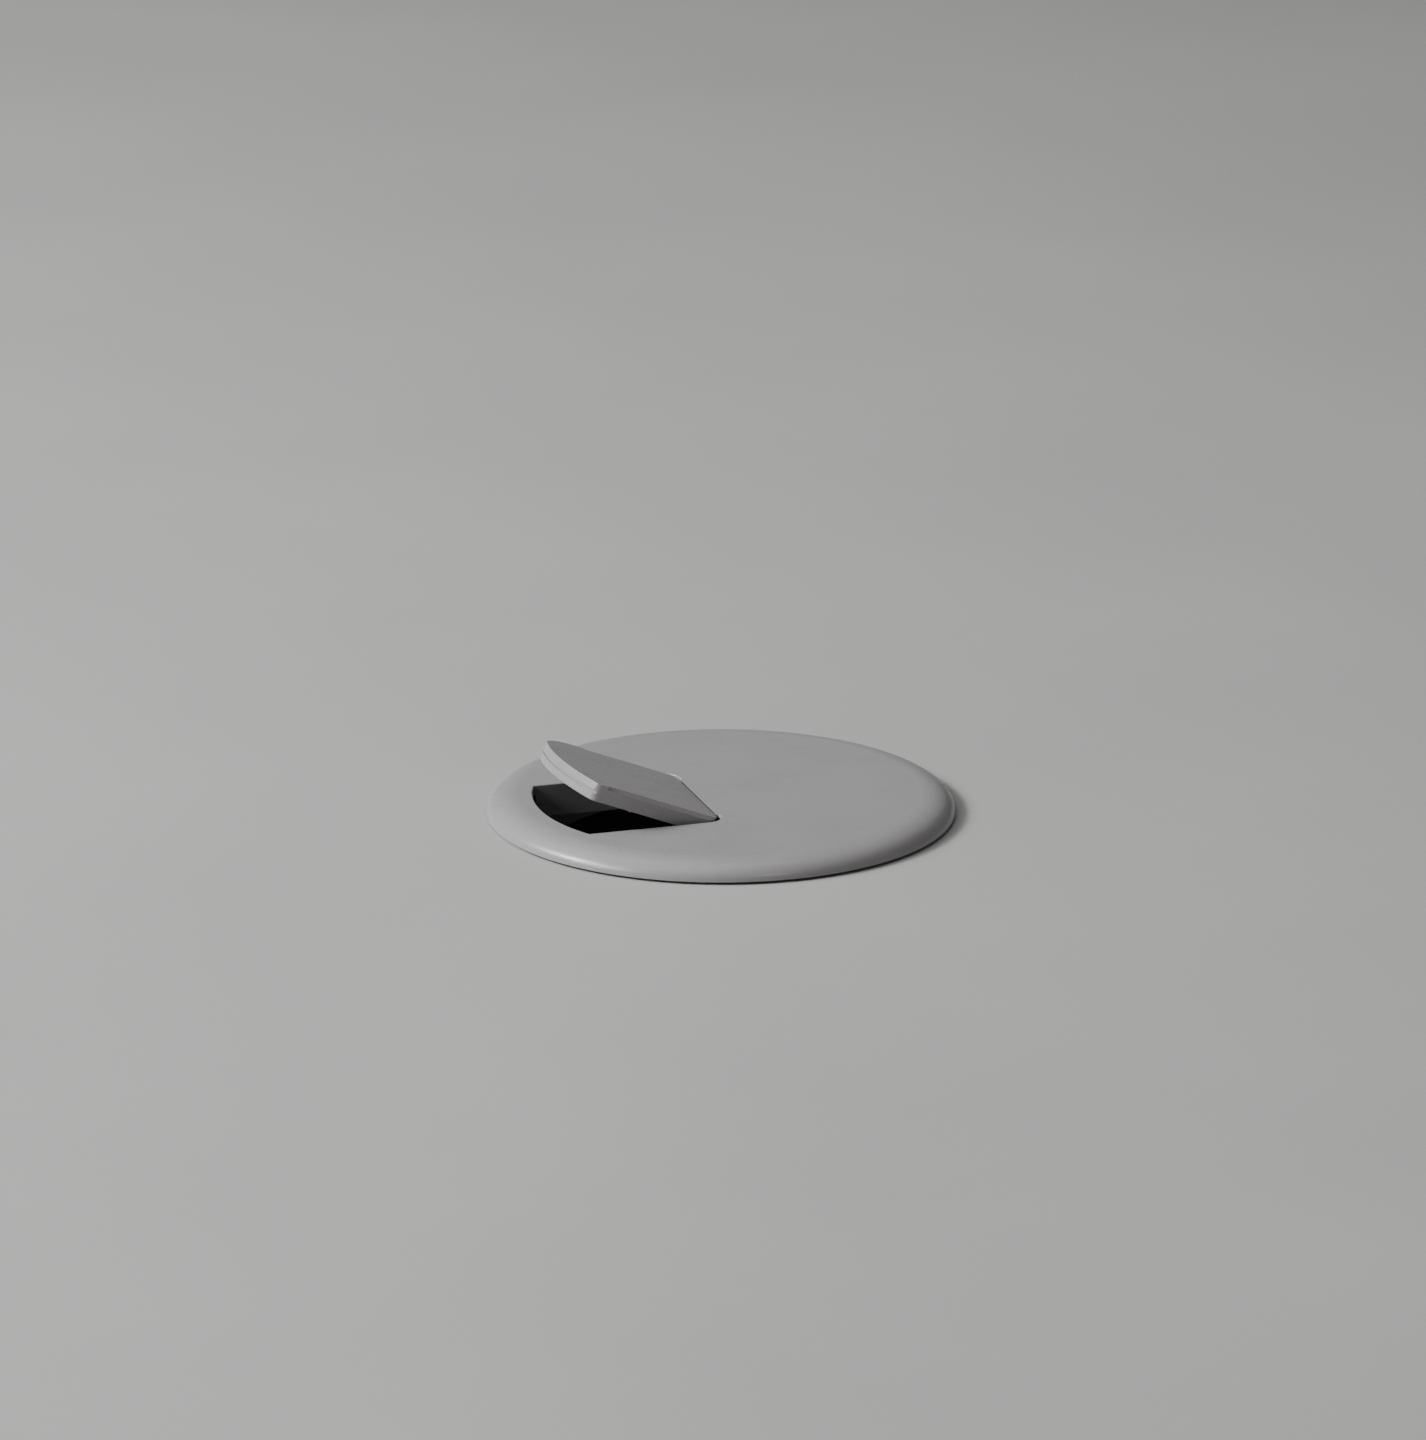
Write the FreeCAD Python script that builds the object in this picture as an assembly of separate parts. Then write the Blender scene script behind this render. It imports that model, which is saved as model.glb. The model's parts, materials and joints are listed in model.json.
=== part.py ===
"""Desk grommet: a turning cover with a sprung cable flap, on a sleeve that lines a hole in a desk top.

Millimetres. The origin is on the desk top, at the centre of the hole, and +Z is up. The flap's free
edge points to -X and its hinge pin lies along Y. The flap is drawn shut, then raised by FLAP_RAISED.
"""

import FreeCAD
import Part

import math
import os

# ---- driving dimensions -------------------------------------------------------------------------

COVER_R = 38.0                 # 76 mm (3 in) cover
COVER_TOP = 3.4                # height of the cover's flat top above the desk
COVER_PLATE = 1.6              # thickness of the cover's plate
RIM_GAP = 0.45                 # the rim stops just clear of the desk
RIM_ROUND = 5.1                # how far the rim's round reaches in from the edge
RIM_INNER_R = 36.3             # inside of the rim

GASKET_T = 0.4                 # foam ring under the flange
GASKET_R = (32.0, 35.6)
FLANGE_T = 0.9
FLANGE_R = 35.8
SLIP_RING_R = (32.5, 35.6)

SLEEVE_R = 31.5                # outside of the sleeve, a clearance fit in a 63.5 mm (2 1/2 in) hole
BORE_R = 30.6                  # inside of the sleeve
ROOT_R = 31.7                  # the sleeve thickens to this where it meets the flange
ROOT_DEPTH = 0.3               # below the desk top
SLEEVE_DEPTH = 22.0            # below the desk top
SLEEVE_CHAMFER = 0.8
CENTRING_RIBS = 6
RIB_PROUD = 0.15
RIB_WIDTH = 1.2

FINGER_R = (29.1, 30.3)        # push-fit fingers of the cover, inside the sleeve
FINGER_DEPTH = 7.0
FINGER_SLOT = 2.2
BEAD_R = 30.5                  # bead round the fingers' tips
BEAD_HEIGHT = 1.0

OPENING_R = 30.5               # outer arc of the cable opening, round the cover's own axis
OPENING_FRONT = -14.9          # the opening's two sides
OPENING_REAR = 12.1
OPENING_EDGE_ROUND = 0.25
WALL_T = 1.0                   # walls that hang from the opening's sides
WALL_DEPTH = 2.0               # below the desk top
STOP_LENGTH = 3.5              # stop tabs that the shut flap rests on
STOP_START = 9.0               # distance of the stop tabs from the cover's axis

HINGE_EDGE = -4.5              # where the cover's top ends, along the hinge
PIN_BELOW_TOP = 0.9
PIN_R = 0.375
PIN_END = 1.6                  # how far the pin runs into the cover, each end
BARREL_CLEARANCE = 0.14        # between the flap's barrel and the cover's hollow
PIN_RUNNING_FIT = 0.04
LUG_HALF_WIDTH = 1.3
LUG_DROP = 0.8                 # the hinge lugs' height below the plate
SNAP_SLOT = 0.62               # slot below the pin, a little narrower than the pin

NOTCH_FRONT = (-14.9, -11.6)   # the opening's two corners beside the hinge
NOTCH_REAR = (8.2, 12.1)
NOTCH_EDGE_FRONT = -4.0
NOTCH_EDGE_REAR = -4.2
NOTCH_CORNER_R = 2.8
NOTCH_ROUND = 0.15
BARREL_SPAN = (-9.5, 6.4)      # the flap's barrel; the springs sit between its ends and the notches

FLAP_RAISED = 21.5             # degrees: the flap's rest position, held up by the cables under it
FLAP_FRONT = -14.05
FLAP_REAR = 10.8
FLAP_R = 30.25
FLAP_TOP_R = 30.1              # the outer face leans in a little above the groove
FLAP_CORNER_R = (1.3, 6.0)     # the free corners, front and rear
FLAP_HINGE_CORNER_R = (2.0, 2.7)
OPENING_HINGE_CORNER_R = 2.0
FLAP_PLATE = 1.1
FLAP_OVERHANG = 0.2            # the plate covers the coils and runs a little past the pin
FLAP_CHAMFER = 0.6             # along the top of both sides
LIP_LENGTH = 0.7               # the chamfers stop this far from the outer face
FLAP_DEPTH = 2.85              # plate and skirt together
SKIRT_T = 1.2
SKIRT_START = 7.0              # the skirt stops short of the hinge
GROOVE = 0.3                   # height and depth of the groove along the outer face
GROOVE_BELOW_TOP = 1.35
RIB_T = 1.0
FLAP_RIBS = (-6.2, 3.0)

WIRE_R = 0.1
LEG_R = 0.085                  # the legs are drawn a little thinner than the coil's wall
LEG_FROM_END = 0.15            # from the coil's end to the middle of a leg
COIL_R = 0.5                   # to the middle of the wire
COIL_LENGTH = 1.5
SPRING_END_GAP = 0.35          # from the barrel's end to the coil
COIL_POCKET_R = 0.68
SPRING_LEG = 3.5
ANCHOR_LEG = 2.0
CATCH_LENGTH = 1.0
CATCH_HEIGHT = 0.4
LEG_PLAY = 0.05

# ---- worked out from those ----------------------------------------------------------------------

PLATE_UNDER = COVER_TOP - COVER_PLATE
FLANGE_TOP = GASKET_T + FLANGE_T
BARREL_R = PIN_BELOW_TOP
HOLLOW_R = BARREL_R + BARREL_CLEARANCE
PIN_Z = COVER_TOP - PIN_BELOW_TOP
PIN_X = HINGE_EDGE - math.sqrt(HOLLOW_R**2 - PIN_BELOW_TOP**2)
FLAP_PLATE_UNDER = COVER_TOP - FLAP_PLATE
FLAP_BOTTOM = COVER_TOP - FLAP_DEPTH
STOP_TOP = FLAP_BOTTOM - 0.05
LEG_Z = FLAP_PLATE_UNDER - WIRE_R - LEG_PLAY
SLACK = 1.0                    # how far a cutting tool runs past what it cuts


def vec(x, y, z):
    return FreeCAD.Vector(x, y, z)


ORIGIN = vec(0, 0, 0)
UP = vec(0, 0, 1)
ALONG_PIN = vec(0, 1, 0)


def block(x0, x1, y0, y1, z0, z1):
    """A box between two corners."""
    return Part.makeBox(x1 - x0, y1 - y0, z1 - z0, vec(x0, y0, z0))


def rod(radius, start, end):
    """A round bar from start to end."""
    return Part.makeCylinder(radius, (end - start).Length, start, end - start)


def ring(inner_r, outer_r, z0, z1):
    """A flat ring round the Z axis."""
    outer = Part.makeCylinder(outer_r, z1 - z0, vec(0, 0, z0))
    return outer.cut(Part.makeCylinder(inner_r, z1 - z0, vec(0, 0, z0)))


def pin_bar(radius, y0, y1):
    """A round bar on the hinge pin's axis."""
    return rod(radius, vec(PIN_X, y0, PIN_Z), vec(PIN_X, y1, PIN_Z))


def polyline(points):
    """Straight edges through the points."""
    return [Part.makeLine(a, b) for a, b in zip(points, points[1:])]


def turned(edges):
    """The solid that a closed outline in the XZ plane makes, turned round Z."""
    return Part.Face(Part.Wire(edges)).revolve(ORIGIN, UP, 360)


def corner_x(side, arc_r):
    """Where a straight side meets the outer arc."""
    return -math.sqrt(arc_r**2 - side**2)


def opening_outline(front, rear, hinge_x, arc_r, z):
    """A D-shaped face: straight along the hinge and both sides, with an arc at the outer end."""
    front_x = corner_x(front, arc_r)
    rear_x = corner_x(rear, arc_r)
    sides = polyline([
        vec(front_x, front, z),
        vec(hinge_x, front, z),
        vec(hinge_x, rear, z),
        vec(rear_x, rear, z),
    ])
    arc = Part.Arc(vec(rear_x, rear, z), vec(-arc_r, 0, z), vec(front_x, front, z)).toShape()
    return Part.Face(Part.Wire(sides + [arc]))


def rounded(solid, radius, wanted):
    """The solid with a fillet on every edge that wanted(edge) picks."""
    return solid.makeFillet(radius, [edge for edge in solid.Edges if wanted(edge)])


def at_height(edge, z):
    box = edge.BoundBox
    return abs(box.ZMin - z) < 1e-4 and abs(box.ZMax - z) < 1e-4


def upright_at(edge, x, y):
    box = edge.BoundBox
    return max(abs(box.XMin - x), abs(box.XMax - x), abs(box.YMin - y), abs(box.YMax - y)) < 1e-4


# ---- liner --------------------------------------------------------------------------------------


def seat_gasket():
    return ring(GASKET_R[0], GASKET_R[1], 0, GASKET_T)


def liner_sleeve():
    """The sleeve with its flange, and small upright ribs that centre it in the hole."""
    bottom = -SLEEVE_DEPTH
    outline = [
        vec(BORE_R, 0, bottom),
        vec(SLEEVE_R - SLEEVE_CHAMFER, 0, bottom),
        vec(SLEEVE_R, 0, bottom + 2 * SLEEVE_CHAMFER),
        vec(SLEEVE_R, 0, -ROOT_DEPTH),
        vec(ROOT_R, 0, GASKET_T),
        vec(FLANGE_R, 0, GASKET_T),
        vec(FLANGE_R, 0, FLANGE_TOP),
        vec(BORE_R, 0, FLANGE_TOP),
        vec(BORE_R, 0, bottom),
    ]
    sleeve = turned(polyline(outline))
    ribs = []
    for number in range(CENTRING_RIBS):
        rib = block(SLEEVE_R - 0.5, SLEEVE_R + RIB_PROUD, -RIB_WIDTH / 2, RIB_WIDTH / 2, bottom + 4, -2)
        rib.rotate(ORIGIN, UP, 360 / CENTRING_RIBS * (number + 0.5))
        ribs.append(rib)
    return sleeve.fuse(ribs).removeSplitter()


def slip_ring():
    return ring(SLIP_RING_R[0], SLIP_RING_R[1], FLANGE_TOP, PLATE_UNDER)


# ---- cover --------------------------------------------------------------------------------------


def cover_shell():
    """The plate with its rim, rounded over the edge as a quarter of an ellipse."""
    flat_r = COVER_R - RIM_ROUND
    ellipse = Part.Ellipse(vec(COVER_R, 0, RIM_GAP), vec(flat_r, 0, COVER_TOP), vec(flat_r, 0, RIM_GAP))
    rim = Part.ArcOfEllipse(ellipse, 0, math.pi / 2).toShape()
    top = [Part.makeLine(vec(flat_r, 0, COVER_TOP), vec(0, 0, COVER_TOP))]
    inside = polyline([
        vec(0, 0, COVER_TOP),
        vec(0, 0, PLATE_UNDER),
        vec(RIM_INNER_R, 0, PLATE_UNDER),
        vec(RIM_INNER_R, 0, RIM_GAP),
        vec(COVER_R, 0, RIM_GAP),
    ])
    return turned([rim] + top + inside)


def fingers():
    """A broken ring of push-fit fingers with a bead round their tips."""
    solid = ring(FINGER_R[0], FINGER_R[1], -FINGER_DEPTH, PLATE_UNDER + 0.2)
    bead_bottom = -FINGER_DEPTH + 0.4
    solid = solid.fuse(ring(FINGER_R[1] - 0.2, BEAD_R, bead_bottom, bead_bottom + BEAD_HEIGHT))
    for angle in (-100, -50, 0, 50, 100):
        slot = block(FINGER_R[0] - SLACK, BEAD_R + SLACK, -FINGER_SLOT / 2, FINGER_SLOT / 2,
                     -FINGER_DEPTH - SLACK, PLATE_UNDER - 1.8)
        slot.rotate(ORIGIN, UP, angle)
        solid = solid.cut(slot)
    return solid


def opening_walls():
    """The walls along the opening's sides, with the tabs that stop the flap when it shuts."""
    pieces = []
    for side, outward in ((OPENING_FRONT, -1), (OPENING_REAR, 1)):
        y0, y1 = sorted((side, side + outward * WALL_T))
        pieces.append(block(-FINGER_R[1], HINGE_EDGE, y0, y1, -WALL_DEPTH, PLATE_UNDER + 0.2))
        y0, y1 = sorted((side + outward * 0.2, side - outward * (WALL_T + SKIRT_T)))
        pieces.append(block(-STOP_START - STOP_LENGTH, -STOP_START, y0, y1, -WALL_DEPTH, STOP_TOP))
    walls = pieces[0].fuse(pieces[1:])
    return walls.common(Part.makeCylinder(FINGER_R[1], 2 * FINGER_DEPTH, vec(0, 0, -FINGER_DEPTH)))


def hinge_lugs():
    """A block under the plate at each end of the pin."""
    lugs = []
    for side, outward in ((OPENING_FRONT, -1), (OPENING_REAR, 1)):
        y0, y1 = sorted((side, side + outward * (PIN_END + 0.6)))
        lugs.append(block(PIN_X - LUG_HALF_WIDTH, PIN_X + LUG_HALF_WIDTH, y0, y1,
                          PLATE_UNDER - LUG_DROP, PLATE_UNDER + 0.2))
    return lugs


def pin_seats():
    """The holes that hold the pin's ends, each with a snap slot below it."""
    seats = []
    for side, outward in ((OPENING_FRONT, -1), (OPENING_REAR, 1)):
        y0, y1 = sorted((side - outward * NOTCH_CORNER_R, side + outward * PIN_END))
        seats.append(pin_bar(PIN_R, y0, y1))
        seats.append(block(PIN_X - SNAP_SLOT / 2, PIN_X + SNAP_SLOT / 2, y0, y1,
                           PLATE_UNDER - LUG_DROP - SLACK, PIN_Z))
    return seats


def notch(span, edge_x, outward):
    """A cutter for one of the opening's corners beside the hinge, which runs on past the hinge's edge."""
    bottom, top = PLATE_UNDER - SLACK, COVER_TOP + SLACK
    cutter = block(PIN_X - NOTCH_CORNER_R - SLACK, edge_x, span[0], span[1], bottom, top)
    outer_y = span[0] if outward < 0 else span[1]
    cutter = rounded(cutter, NOTCH_CORNER_R, lambda edge: upright_at(edge, edge_x, outer_y))
    return rounded(cutter, NOTCH_ROUND, lambda edge: upright_at(edge, edge_x, span[0] + span[1] - outer_y))


def anchor_holes():
    """The hole beside each coil that takes the spring's short leg."""
    holes = []
    for barrel_end, outward in zip(BARREL_SPAN, (-1, 1)):
        y = spring_span(barrel_end, outward)[1] - outward * LEG_FROM_END
        holes.append(rod(WIRE_R + LEG_PLAY, vec(PIN_X, y, PIN_Z), vec(PIN_X + ANCHOR_LEG + 0.1, y, PIN_Z)))
    return holes


def opening():
    """The cutter for the cable opening, right through the cover."""
    bottom, top = -FINGER_DEPTH - SLACK, COVER_TOP + SLACK
    face = opening_outline(OPENING_FRONT, OPENING_REAR, PIN_X, OPENING_R, bottom)
    solid = face.extrude(vec(0, 0, top - bottom))
    return rounded(solid, OPENING_HINGE_CORNER_R, lambda edge: (
        upright_at(edge, PIN_X, OPENING_FRONT) or upright_at(edge, PIN_X, OPENING_REAR)))


def on_opening(edge):
    """True for the top edges of the opening's sides, outer arc and corners."""
    box = edge.BoundBox
    return at_height(edge, COVER_TOP) and box.XMax < 0 and box.XLength > 1


def cover():
    """The shell with its fingers, walls and lugs, cut for the opening, the hinge and the springs."""
    corners = [notch(NOTCH_FRONT, NOTCH_EDGE_FRONT, -1), notch(NOTCH_REAR, NOTCH_EDGE_REAR, 1)]
    plate = cover_shell().cut(opening().fuse(corners).removeSplitter())
    plate = rounded(plate, OPENING_EDGE_ROUND, on_opening)
    solid = plate.fuse([fingers().cut(opening()), opening_walls()] + hinge_lugs())
    hollow = pin_bar(HOLLOW_R, NOTCH_FRONT[1] - 0.1, NOTCH_REAR[0] + 0.1)
    return solid.cut([hollow] + pin_seats() + anchor_holes()).removeSplitter()


# ---- flap ---------------------------------------------------------------------------------------


def raised(shape):
    """Turn a shape from the shut position to the rest position."""
    shape = shape.copy()
    shape.rotate(vec(PIN_X, 0, PIN_Z), ALONG_PIN, FLAP_RAISED)
    return shape


def flap_slab(inset, hinge_x, z0, z1):
    """The flap's outline as a slab, with its two free corners rounded."""
    front, rear, arc_r = FLAP_FRONT + inset, FLAP_REAR - inset, FLAP_R - inset
    slab = opening_outline(front, rear, hinge_x, arc_r, z0).extrude(vec(0, 0, z1 - z0))
    for side, radius in zip((front, rear), FLAP_CORNER_R):
        x = corner_x(side, arc_r)
        slab = rounded(slab, max(radius - inset, 0.3), lambda edge: upright_at(edge, x, side))
    return slab


def side_chamfers():
    """Cutters for the chamfers along the sides, which stop short of the outer face."""
    cutters = []
    for side, corner_r in zip((FLAP_FRONT, FLAP_REAR), FLAP_CORNER_R):
        x0 = corner_x(side, FLAP_R) + corner_r + LIP_LENGTH
        half = FLAP_CHAMFER * math.sqrt(0.5)
        cutter = block(x0, 0, side - half, side + half, COVER_TOP - half, COVER_TOP + half)
        cutter.rotate(vec(0, side, COVER_TOP), vec(1, 0, 0), 45)
        cutters.append(cutter)
    return cutters


def flap_plate():
    """The plate, with an outer face that leans in, and rounded corners beside the hinge."""
    slab = flap_slab(0, PIN_X, FLAP_PLATE_UNDER, COVER_TOP)
    for side, radius in zip((FLAP_FRONT, FLAP_REAR), FLAP_HINGE_CORNER_R):
        slab = rounded(slab, radius, lambda edge: upright_at(edge, PIN_X, side))
    cone = Part.makeCone(FLAP_R, FLAP_TOP_R, GROOVE_BELOW_TOP, vec(0, 0, COVER_TOP - GROOVE_BELOW_TOP))
    return slab.common(cone).cut(side_chamfers())


def flap_skirt():
    """A shallow wall under the plate's sides and outer arc."""
    outer = flap_slab(0, -SKIRT_START, FLAP_BOTTOM, FLAP_PLATE_UNDER)
    return outer.cut(flap_slab(SKIRT_T, -SKIRT_START + SLACK, FLAP_BOTTOM, FLAP_PLATE_UNDER))


def outer_groove():
    """The groove along the flap's outer face."""
    top = COVER_TOP - GROOVE_BELOW_TOP
    return ring(FLAP_R - GROOVE, FLAP_R + SLACK, top - GROOVE, top)


def flap_ribs():
    return [
        block(-FLAP_R + SKIRT_T, -SKIRT_START - SLACK, y - RIB_T / 2, y + RIB_T / 2,
              FLAP_PLATE_UNDER - 0.9, FLAP_PLATE_UNDER)
        for y in FLAP_RIBS
    ]


def spring_catches():
    """A ledge inside each side of the skirt, which the spring's long leg presses down on."""
    catches = []
    x1 = PIN_X - SPRING_LEG + CATCH_LENGTH
    top = LEG_Z - WIRE_R - LEG_PLAY
    for side, barrel_end, outward in zip((FLAP_FRONT, FLAP_REAR), BARREL_SPAN, (-1, 1)):
        y0, y1 = sorted((side - outward * (SKIRT_T - 0.2), barrel_end))
        catches.append(block(x1 - CATCH_LENGTH, x1, y0, y1, top - CATCH_HEIGHT, top))
    return catches


def flap():
    """The flap, shut, then raised to its rest position."""
    barrel = pin_bar(BARREL_R, BARREL_SPAN[0], BARREL_SPAN[1])
    web = block(PIN_X - 1.5, PIN_X, BARREL_SPAN[0], BARREL_SPAN[1], PIN_Z - 0.5, COVER_TOP - 0.3)
    solid = flap_plate().fuse([flap_skirt(), barrel, web] + flap_ribs() + spring_catches())
    ends = (FLAP_FRONT + FLAP_HINGE_CORNER_R[0], FLAP_REAR - FLAP_HINGE_CORNER_R[1])
    for barrel_end, end, outward in zip(BARREL_SPAN, ends, (-1, 1)):
        y0, y1 = sorted((barrel_end, barrel_end + outward * (COIL_LENGTH + 2 * SPRING_END_GAP)))
        solid = solid.cut(pin_bar(COIL_POCKET_R, y0, y1))
        y0, y1 = sorted((barrel_end - outward * 0.1, end))
        solid = solid.fuse(block(PIN_X - 0.1, PIN_X + FLAP_OVERHANG, y0, y1, COVER_TOP - 0.25, COVER_TOP))
    pin_hole = pin_bar(PIN_R + PIN_RUNNING_FIT, FLAP_FRONT - SLACK, FLAP_REAR + SLACK)
    return raised(solid.cut([outer_groove(), pin_hole]).removeSplitter())


# ---- hinge pin and springs ----------------------------------------------------------------------


def hinge_pin():
    """A plain pin with slightly rounded ends."""
    pin = pin_bar(PIN_R, OPENING_FRONT - PIN_END, OPENING_REAR + PIN_END)
    return rounded(pin, 0.1, lambda edge: edge.BoundBox.YLength < 1e-4)


def spring_span(barrel_end, outward):
    """The coil's inner and outer end along the pin. outward is the way from the hinge's middle."""
    inner_end = barrel_end + outward * SPRING_END_GAP
    return inner_end, inner_end + outward * COIL_LENGTH


def torsion_spring(barrel_end, outward):
    """A close-wound coil, drawn as a tube, with a long leg under the flap and a short one in the cover."""
    inner_end, outer_end = spring_span(barrel_end, outward)
    coil = pin_bar(COIL_R + WIRE_R, inner_end, outer_end)
    coil = coil.cut(pin_bar(COIL_R - WIRE_R, inner_end, outer_end))
    inner_y = inner_end + outward * LEG_FROM_END
    outer_y = outer_end - outward * LEG_FROM_END
    long_leg = raised(rod(LEG_R, vec(PIN_X, inner_y, PIN_Z - COIL_R), vec(PIN_X - SPRING_LEG, inner_y, LEG_Z)))
    short_leg = rod(LEG_R, vec(PIN_X + COIL_R, outer_y, PIN_Z), vec(PIN_X + ANCHOR_LEG, outer_y, PIN_Z))
    return coil.fuse([long_leg, short_leg]).removeSplitter()


# ---- export -------------------------------------------------------------------------------------

NODES = {
    "seat_gasket": seat_gasket(),
    "liner_sleeve": liner_sleeve(),
    "slip_ring": slip_ring(),
    "cover": cover(),
    "flap": flap(),
    "hinge_pin": hinge_pin(),
    "front_spring": torsion_spring(BARREL_SPAN[0], -1),
    "rear_spring": torsion_spring(BARREL_SPAN[1], 1),
}

os.makedirs("parts", exist_ok=True)
for name, shape in NODES.items():
    shape.exportStep("parts/" + name + ".step")
    print(name, "solids", len(shape.Solids), "valid", shape.isValid(), "volume %.1f" % shape.Volume)
print("pin axis x %.3f z %.3f" % (PIN_X, PIN_Z))
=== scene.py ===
"""Desk grommet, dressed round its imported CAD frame. Metres, in the CAD's own frame: the desk top is z = 0."""
import json
import math

import bmesh
import bpy
from mathutils import Matrix, Vector


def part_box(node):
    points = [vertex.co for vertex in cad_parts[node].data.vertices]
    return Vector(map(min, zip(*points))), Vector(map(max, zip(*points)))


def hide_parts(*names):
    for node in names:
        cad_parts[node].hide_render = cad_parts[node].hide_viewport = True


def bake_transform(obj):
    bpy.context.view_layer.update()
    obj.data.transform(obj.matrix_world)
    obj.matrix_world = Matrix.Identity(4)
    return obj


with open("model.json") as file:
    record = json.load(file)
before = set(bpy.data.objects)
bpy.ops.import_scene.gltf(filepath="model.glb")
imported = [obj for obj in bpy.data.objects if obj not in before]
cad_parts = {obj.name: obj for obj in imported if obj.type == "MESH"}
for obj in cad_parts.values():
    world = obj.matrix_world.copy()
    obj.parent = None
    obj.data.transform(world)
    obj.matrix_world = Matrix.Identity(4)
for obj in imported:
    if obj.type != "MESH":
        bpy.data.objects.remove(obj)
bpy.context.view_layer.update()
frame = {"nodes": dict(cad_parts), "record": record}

MM = 0.001

# ---- view ---------------------------------------------------------------------------------------

VIEW_AZIMUTH = -17.5
VIEW_ELEVATION = 17.1
VIEW_DISTANCE = 1.1674
LENS = 180.0
AIM_RIGHT = -0.0013        # the point aimed at, from the middle of the hole, along the view's own axes
AIM_UP = 0.0148

# ---- light --------------------------------------------------------------------------------------

LIGHT_DISTANCE = 1.3
KEY_FROM = (-0.818, 0.133, 0.56)        # a wide window on the left
KEY_SIZE = (1.1, 0.45)
KEY_POWER = 18.0
GLINT_FROM = (-0.79, 0.18, 0.575)       # a brighter patch in the window, for the rim's highlight
GLINT_SIZE = (0.18, 0.14)
GLINT_POWER = 7.5
TOP_FROM = (-0.3, 0.2, 0.93)            # a broad soft fill from above
TOP_SIZE = (1.4, 1.4)
TOP_POWER = 6.5
FRONT_FROM = (0.14, -0.76, 0.62)        # a weak small light from the front
FRONT_SIZE = (0.08, 0.08)
FRONT_POWER = 0.6
SKY = 0.07                 # world light from above the desk
BELOW = 0.05               # world light from below it

# ---- sizes of springs and desk ------------------------------------------------------------------

WIRE_R = 0.098 * MM        # the coil's wire
LEG_R = 0.085 * MM         # the legs are drawn a little thinner
COIL_R = 0.5 * MM          # to the middle of the wire
PITCH = 0.214 * MM
PART_TURN = 1.5 * math.pi  # what the coil turns past its whole turns and the flap's angle
FLAP_LEG_REACH = 3.4 * MM
FLAP_LEG_DROP = 0.35 * MM
LEG_INSET = 1.5 * LEG_R    # from the spring's end to the middle of its leg
WIRE_SIDES = 10
TURN_STEPS = 28
FLAP_LEG_STEPS = 8
COVER_LEG_STEPS = 6

HOLE_R = 31.75 * MM
DESK_SIZE = 6.0
DESK_STEPS = 128


def direction(azimuth, elevation):
    """The way the camera looks. Azimuth 0 looks along +Y, and 90 along -X."""
    a, e = math.radians(azimuth), math.radians(elevation)
    return Vector((-math.sin(a) * math.cos(e), math.cos(a) * math.cos(e), -math.sin(e)))


def add_object(name, data):
    obj = bpy.data.objects.new(name, data)
    bpy.context.scene.collection.objects.link(obj)
    return obj


def set_range(node, low, high, to_low, to_high):
    for name, number in zip(("From Min", "From Max", "To Min", "To Max"), (low, high, to_low, to_high)):
        node.inputs[name].default_value = number


def add_camera():
    forward = direction(VIEW_AZIMUTH, VIEW_ELEVATION)
    right = forward.cross(Vector((0, 0, 1))).normalized()
    up = right.cross(forward)
    data = bpy.data.cameras.new("camera")
    data.lens = LENS
    data.sensor_width = 36.0
    data.clip_start, data.clip_end = 0.05, 20.0
    camera = add_object("camera", data)
    camera.location = AIM_RIGHT * right + AIM_UP * up - VIEW_DISTANCE * forward
    camera.rotation_mode = "QUATERNION"
    camera.rotation_quaternion = forward.to_track_quat("-Z", "Y")
    bpy.context.scene.camera = camera


def add_area_light(name, towards, size, power):
    """A rectangular light that faces the middle of the hole."""
    place = LIGHT_DISTANCE * Vector(towards).normalized()
    data = bpy.data.lights.new(name, "AREA")
    data.shape = "RECTANGLE"
    data.size, data.size_y = size
    data.energy = power
    light = add_object(name, data)
    light.location = place
    light.rotation_mode = "QUATERNION"
    light.rotation_quaternion = (-place).to_track_quat("-Z", "Y")


# ---- materials ----------------------------------------------------------------------------------


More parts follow.
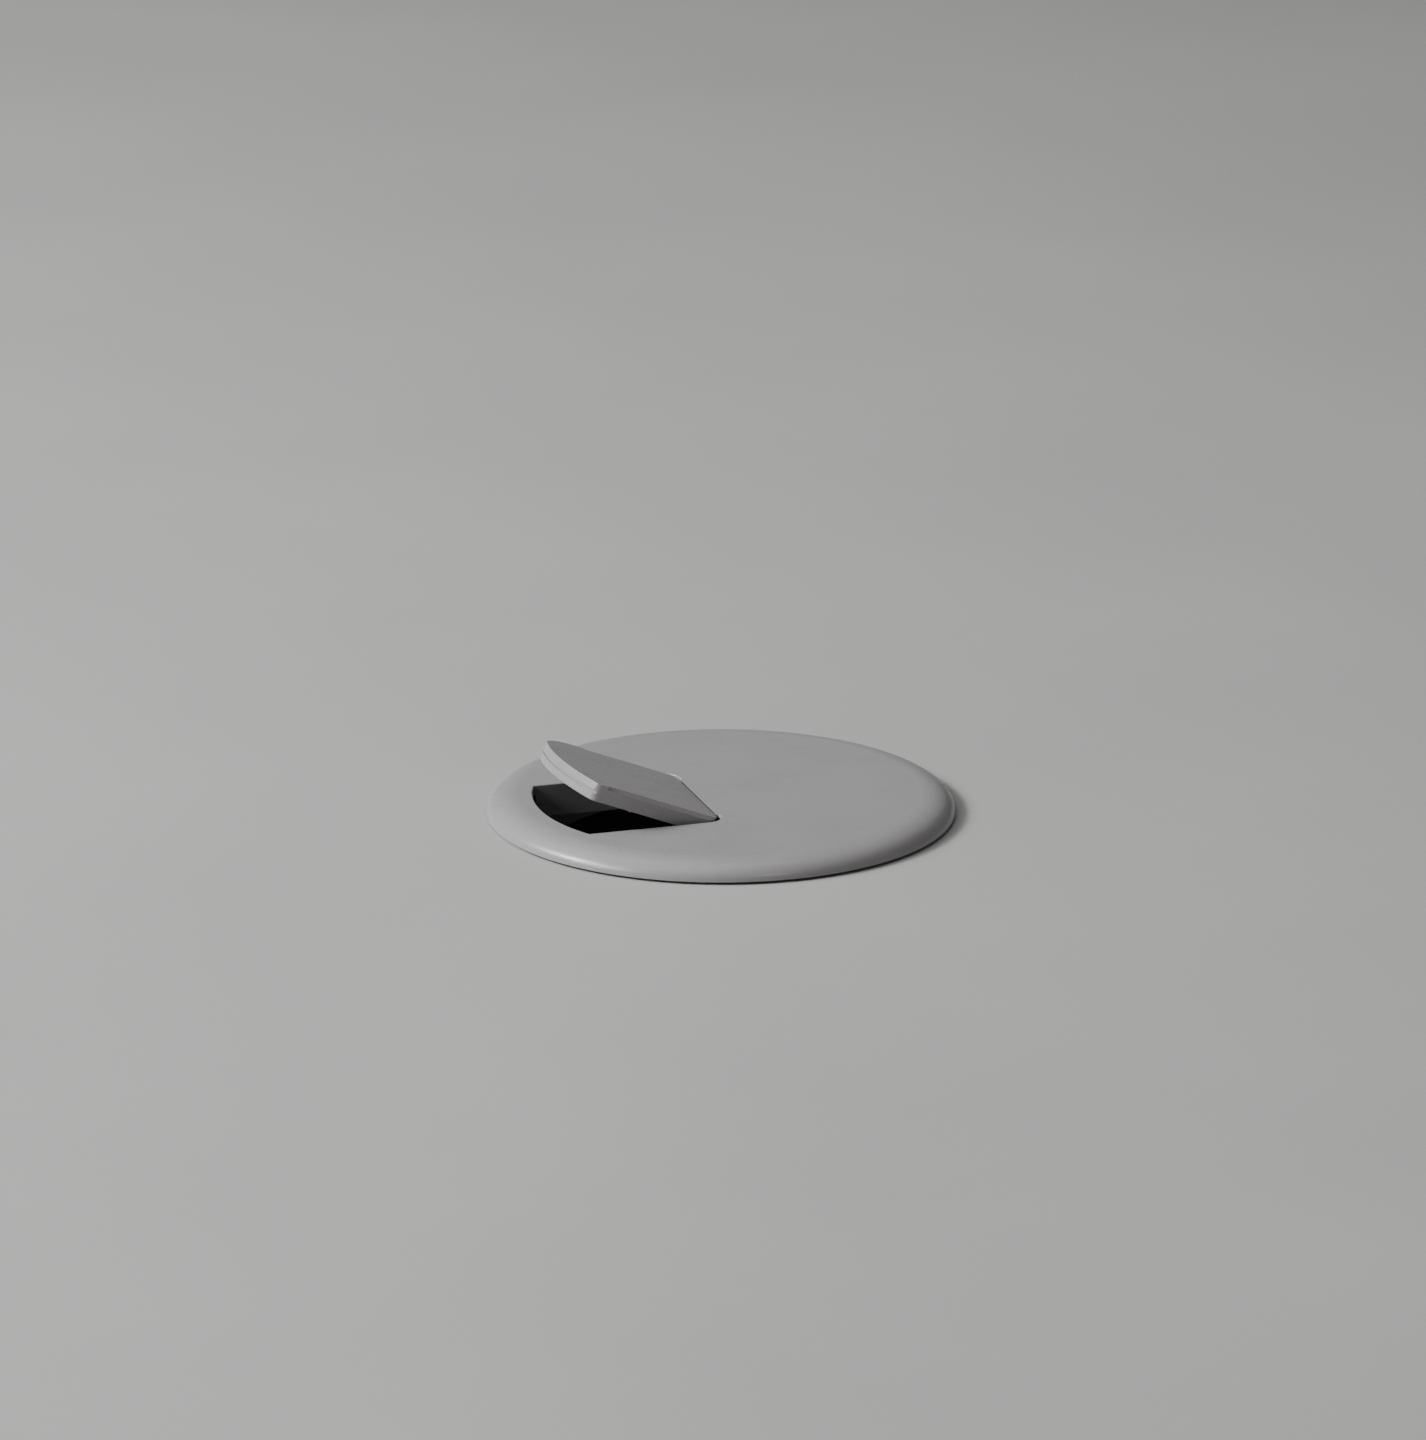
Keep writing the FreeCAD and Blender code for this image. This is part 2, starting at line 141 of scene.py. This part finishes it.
class Shader:
    """A material with one principled shader, and small helpers that add nodes in front of it."""

    def __init__(self, name):
        self.material = bpy.data.materials.new(name)
        self.material.use_nodes = True
        self.nodes = self.material.node_tree.nodes
        self.links = self.material.node_tree.links
        self.shader = self.nodes["Principled BSDF"]
        self.place = self.nodes.new("ShaderNodeTexCoord").outputs["Object"]

    def set(self, name, value):
        self.shader.inputs[name].default_value = value

    def stretched(self, x, y, z):
        """The place with each axis scaled, for marks that run one way."""
        node = self.nodes.new("ShaderNodeMapping")
        node.inputs["Scale"].default_value = (x, y, z)
        self.links.new(self.place, node.inputs["Vector"])
        return node.outputs["Vector"]

    def noise(self, scale, detail=2.0, place=None):
        node = self.nodes.new("ShaderNodeTexNoise")
        node.inputs["Scale"].default_value = scale
        node.inputs["Detail"].default_value = detail
        self.links.new(place or self.place, node.inputs["Vector"])
        return node.outputs["Fac"]

    def cells(self, scale):
        node = self.nodes.new("ShaderNodeTexVoronoi")
        node.inputs["Scale"].default_value = scale
        self.links.new(self.place, node.inputs["Vector"])
        return node.outputs["Distance"]

    def spread(self, value, low, high, to_low, to_high):
        """The value's range low to high stretched to another range, and held at its ends."""
        node = self.nodes.new("ShaderNodeMapRange")
        set_range(node, low, high, to_low, to_high)
        self.links.new(value, node.inputs["Value"])
        return node.outputs["Result"]

    def sum(self, a, b):
        return self.math("ADD", a, b)

    def product(self, a, b):
        return self.math("MULTIPLY", a, b)

    def math(self, operation, a, b):
        node = self.nodes.new("ShaderNodeMath")
        node.operation = operation
        self.links.new(a, node.inputs[0])
        self.links.new(b, node.inputs[1])
        return node.outputs["Value"]

    def facing_up(self):
        """1 on level faces that look up, down to 0 on upright ones."""
        geometry = self.nodes.new("ShaderNodeNewGeometry")
        split = self.nodes.new("ShaderNodeSeparateXYZ")
        self.links.new(geometry.outputs["Normal"], split.inputs["Vector"])
        return self.spread(split.outputs["Z"], 0.2, 0.9, 0.0, 1.0)

    def blend(self, amount, low, high):
        """A colour between low and high, each a colour or a socket."""
        node = self.nodes.new("ShaderNodeMix")
        node.data_type = "RGBA"
        self.links.new(amount, node.inputs[0])
        for socket, color in ((node.inputs[6], low), (node.inputs[7], high)):
            if isinstance(color, bpy.types.NodeSocket):
                self.links.new(color, socket)
            else:
                socket.default_value = (*color, 1)
        return node.outputs[2]

    def color(self, socket):
        self.links.new(socket, self.shader.inputs["Base Color"])

    def roughness(self, socket):
        self.links.new(socket, self.shader.inputs["Roughness"])

    def bump(self, height, distance, strength):
        """Adds a bump on top of those added before."""
        node = self.nodes.new("ShaderNodeBump")
        node.inputs["Strength"].default_value = strength
        node.inputs["Distance"].default_value = distance
        self.links.new(height, node.inputs["Height"])
        normal = self.shader.inputs["Normal"]
        if normal.is_linked:
            self.links.new(normal.links[0].from_socket, node.inputs["Normal"])
        self.links.new(node.outputs["Normal"], normal)


def tint(color, factor):
    return tuple(channel * factor for channel in color)


def grey_plastic():
    """Satin moulded ABS: a fine spark-eroded grain, faint flow shading, hairline scratches and dust."""
    base = (0.350, 0.340, 0.341)
    made = Shader("grey_plastic")
    made.set("IOR", 1.5)
    flow = made.noise(70.0, 3.0)
    grain = made.noise(6500.0, 2.0)
    speck = made.spread(made.noise(1500.0, 3.0), 0.68, 0.76, 0.0, 0.35)
    dust = made.product(speck, made.facing_up())
    scratch = made.spread(made.noise(1.0, 2.0, made.stretched(2600.0, 120.0, 400.0)), 0.70, 0.76, 0.0, 1.0)
    toned = made.blend(made.spread(flow, 0.3, 0.7, 0.0, 1.0), tint(base, 0.975), tint(base, 1.02))
    made.color(made.blend(dust, toned, (0.46, 0.45, 0.44)))
    rough = made.sum(made.spread(grain, 0.3, 0.7, 0.25, 0.31), made.spread(flow, 0.3, 0.7, -0.02, 0.03))
    made.roughness(made.sum(rough, made.product(scratch, made.spread(flow, 0.4, 0.6, 0.0, 0.06))))
    made.bump(grain, 0.02 * MM, 0.18)
    made.bump(scratch, 0.004 * MM, 0.12)
    return made.material


def black_plastic():
    """Satin moulded polypropylene, with faint draw lines down the sleeve and a little dust."""
    base = (0.026, 0.026, 0.0265)
    made = Shader("black_plastic")
    made.set("IOR", 1.47)
    flow = made.noise(60.0, 3.0)
    grain = made.noise(5200.0, 2.0)
    draw = made.noise(1.0, 2.0, made.stretched(900.0, 900.0, 25.0))
    dust = made.product(made.spread(made.noise(1300.0, 3.0), 0.66, 0.76, 0.0, 0.5), made.facing_up())
    toned = made.blend(made.spread(flow, 0.3, 0.7, 0.0, 1.0), tint(base, 0.85), tint(base, 1.2))
    made.color(made.blend(dust, toned, (0.05, 0.048, 0.045)))
    rough = made.spread(grain, 0.3, 0.7, 0.48, 0.56)
    made.roughness(made.sum(rough, made.spread(draw, 0.3, 0.7, -0.04, 0.04)))
    made.bump(grain, 0.02 * MM, 0.2)
    made.bump(draw, 0.01 * MM, 0.15)
    return made.material


def natural_acetal():
    """Milky acetal, on which the cover turns, with darker smears here and there in its colour."""
    base = (0.72, 0.71, 0.67)
    made = Shader("natural_acetal")
    made.set("IOR", 1.48)
    made.set("Subsurface Weight", 0.2)
    made.set("Subsurface Scale", 0.5 * MM)
    cloud = made.noise(220.0, 3.0)
    grain = made.noise(4200.0, 2.0)
    smear = made.spread(made.noise(420.0, 4.0), 0.55, 0.75, 0.0, 0.6)
    toned = made.blend(made.spread(cloud, 0.3, 0.7, 0.0, 1.0), tint(base, 0.94), tint(base, 1.04))
    made.color(made.blend(smear, toned, (0.5, 0.49, 0.46)))
    made.roughness(made.spread(grain, 0.3, 0.7, 0.32, 0.44))
    made.bump(grain, 0.01 * MM, 0.15)
    return made.material


def black_foam():
    """Closed-cell foam: small open cells along the cut face, each painted darker towards its middle as painted
    shade in the hollow.
    """
    base = (0.018, 0.018, 0.019)
    made = Shader("black_foam")
    cells = made.cells(7000.0)
    cloud = made.noise(300.0, 3.0)
    # painted shade: the colour darkens towards the middle of each cell, standing in for shade inside its open
    # hollow
    made.color(made.blend(made.spread(cells, 0.1, 0.6, 0.0, 1.0), tint(base, 0.5), tint(base, 1.6)))
    made.roughness(made.spread(cloud, 0.3, 0.7, 0.82, 0.95))
    made.bump(cells, 0.05 * MM, 0.6)
    return made.material


def blackened_steel(name, color, along):
    """Blackened drawn wire: fine lines along it, and bare metal showing through where it rubs."""
    made = Shader(name)
    made.set("Metallic", 0.85)
    lines = made.noise(1.0, 2.0, made.stretched(*along))
    patches = made.noise(1400.0, 3.0)
    worn = made.spread(patches, 0.62, 0.74, 0.0, 0.6)
    toned = made.blend(made.spread(lines, 0.3, 0.7, 0.0, 1.0), tint(color, 0.75), tint(color, 1.3))
    made.color(made.blend(worn, toned, (0.16, 0.15, 0.14)))
    made.roughness(made.spread(lines, 0.3, 0.7, 0.34, 0.5))
    made.bump(lines, 0.006 * MM, 0.25)
    return made.material


def pale_desk():
    """A pale matt desk top, almost plain."""
    made = Shader("pale_desk")
    cloud = made.noise(9.0, 3.0)
    made.color(made.blend(made.spread(cloud, 0.3, 0.7, 0.0, 1.0), (0.44, 0.437, 0.432), (0.47, 0.467, 0.461)))
    made.roughness(made.spread(made.noise(900.0, 2.0), 0.3, 0.7, 0.6, 0.7))
    return made.material


def add_world():
    """Soft light from above the desk, and less of it from below."""
    world = bpy.data.worlds.new("studio")
    world.use_nodes = True
    nodes, links = world.node_tree.nodes, world.node_tree.links
    background = nodes["Background"]
    background.inputs["Color"].default_value = (1.0, 0.99, 0.985, 1)
    place = nodes.new("ShaderNodeTexCoord")
    split = nodes.new("ShaderNodeSeparateXYZ")
    spread = nodes.new("ShaderNodeMapRange")
    set_range(spread, -0.1, 0.1, BELOW, SKY)
    links.new(place.outputs["Generated"], split.inputs["Vector"])
    links.new(split.outputs["Z"], spread.inputs["Value"])
    links.new(spread.outputs["Result"], background.inputs["Strength"])
    bpy.context.scene.world = world


def paint(obj, material):
    obj.data.materials.clear()
    obj.data.materials.append(material)


# ---- springs ------------------------------------------------------------------------------------


def tube(name, path, radius_of):
    """A round wire along a path of points. radius_of gives its radius at each point."""
    mesh = bmesh.new()
    rings = []
    normal = None
    for i, point in enumerate(path):
        along = (path[min(i + 1, len(path) - 1)] - path[max(i - 1, 0)]).normalized()
        if normal is None:
            normal = along.orthogonal()
        normal = (normal - along * normal.dot(along)).normalized()
        side = along.cross(normal)
        made = []
        for j in range(WIRE_SIDES):
            a = 2 * math.pi * j / WIRE_SIDES
            made.append(mesh.verts.new(point + radius_of(i) * (math.cos(a) * normal + math.sin(a) * side)))
        rings.append(made)
    for a, b in zip(rings, rings[1:]):
        for j in range(WIRE_SIDES):
            k = (j + 1) % WIRE_SIDES
            mesh.faces.new((a[j], a[k], b[k], b[j])).smooth = True
    mesh.faces.new(reversed(rings[0]))
    mesh.faces.new(rings[-1])
    data = bpy.data.meshes.new(name)
    mesh.to_mesh(data)
    mesh.free()
    return add_object(name, data)


def spring(node, pin, raised, material):
    """A torsion spring wound round the pin: one leg lies under the flap, the other goes into the cover."""
    low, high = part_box(node)
    outward = -1 if low.y < 0 else 1
    outer = low.y if outward < 0 else high.y
    inner = high.y if outward < 0 else low.y
    flap_y = inner + outward * LEG_INSET
    cover_y = outer - outward * LEG_INSET
    turn = Matrix.Rotation(raised, 4, "Y")

    def on_coil(angle, y):
        return Vector((pin.x - COIL_R * math.sin(angle), y, pin.z - COIL_R * math.cos(angle)))

    leg_end = Vector((-FLAP_LEG_REACH, 0, -FLAP_LEG_DROP))
    leg_start = Vector((0, 0, -COIL_R))
    path = []
    for i in range(FLAP_LEG_STEPS + 1):
        local = turn @ leg_end.lerp(leg_start, i / FLAP_LEG_STEPS)
        path.append(Vector((pin.x + local.x, flap_y, pin.z + local.z)))
    start = -raised
    turns = max(1, int(abs(cover_y - flap_y) / PITCH))
    sweep = 2 * math.pi * turns + PART_TURN + raised
    steps = int(TURN_STEPS * sweep / (2 * math.pi))
    leg_points = len(path)
    for i in range(1, steps + 1):
        share = i / steps
        path.append(on_coil(start - share * sweep, flap_y + share * (cover_y - flap_y)))
    last = path[-1]
    coil_end = len(path)
    reach = high.x - last.x
    for i in range(1, COVER_LEG_STEPS + 1):
        path.append(last + Vector((reach * i / COVER_LEG_STEPS, 0, 0)))

    def radius_of(i):
        return LEG_R if i < leg_points or i >= coil_end else WIRE_R

    made = tube(node + "_wire", path, radius_of)
    paint(made, material)
    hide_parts(node)
    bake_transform(made)


# ---- stage --------------------------------------------------------------------------------------


def add_desk():
    """A pale desk top with the round hole that the sleeve goes through."""
    mesh = bpy.data.meshes.new("desk_top")
    inner, outer = [], []
    faces = []
    for i in range(DESK_STEPS):
        a = 2 * math.pi * i / DESK_STEPS
        reach = DESK_SIZE / 2 / max(abs(math.cos(a)), abs(math.sin(a)))
        inner.append((HOLE_R * math.cos(a), HOLE_R * math.sin(a), 0))
        outer.append((reach * math.cos(a), reach * math.sin(a), 0))
        following = (i + 1) % DESK_STEPS
        faces.append((i, i + DESK_STEPS, following + DESK_STEPS, following))
    mesh.from_pydata(inner + outer, [], faces)
    desk = add_object("desk_top", mesh)
    paint(desk, pale_desk())


hinge = next(joint for joint in frame["record"]["behaviour"]["joints"] if joint["name"] == "flap_hinge")
hinge_at = Vector(hinge["pos_m"])
flap_raised = math.radians(-hinge["range_deg"][0])

grey = grey_plastic()
finishes = {
    "cover": grey,
    "flap": grey,
    "liner_sleeve": black_plastic(),
    "slip_ring": natural_acetal(),
    "seat_gasket": black_foam(),
    "hinge_pin": blackened_steel("pin_steel", (0.04, 0.04, 0.042), (9000.0, 60.0, 9000.0)),
}
for node, finish in finishes.items():
    paint(frame["nodes"][node], finish)
spring_steel = blackened_steel("spring_steel", (0.05, 0.05, 0.052), (9000.0, 9000.0, 9000.0))
for node in ("front_spring", "rear_spring"):
    spring(node, hinge_at, flap_raised, spring_steel)

add_camera()
add_desk()
add_world()
add_area_light("key", KEY_FROM, KEY_SIZE, KEY_POWER)
add_area_light("glint", GLINT_FROM, GLINT_SIZE, GLINT_POWER)
add_area_light("top", TOP_FROM, TOP_SIZE, TOP_POWER)
add_area_light("front", FRONT_FROM, FRONT_SIZE, FRONT_POWER)
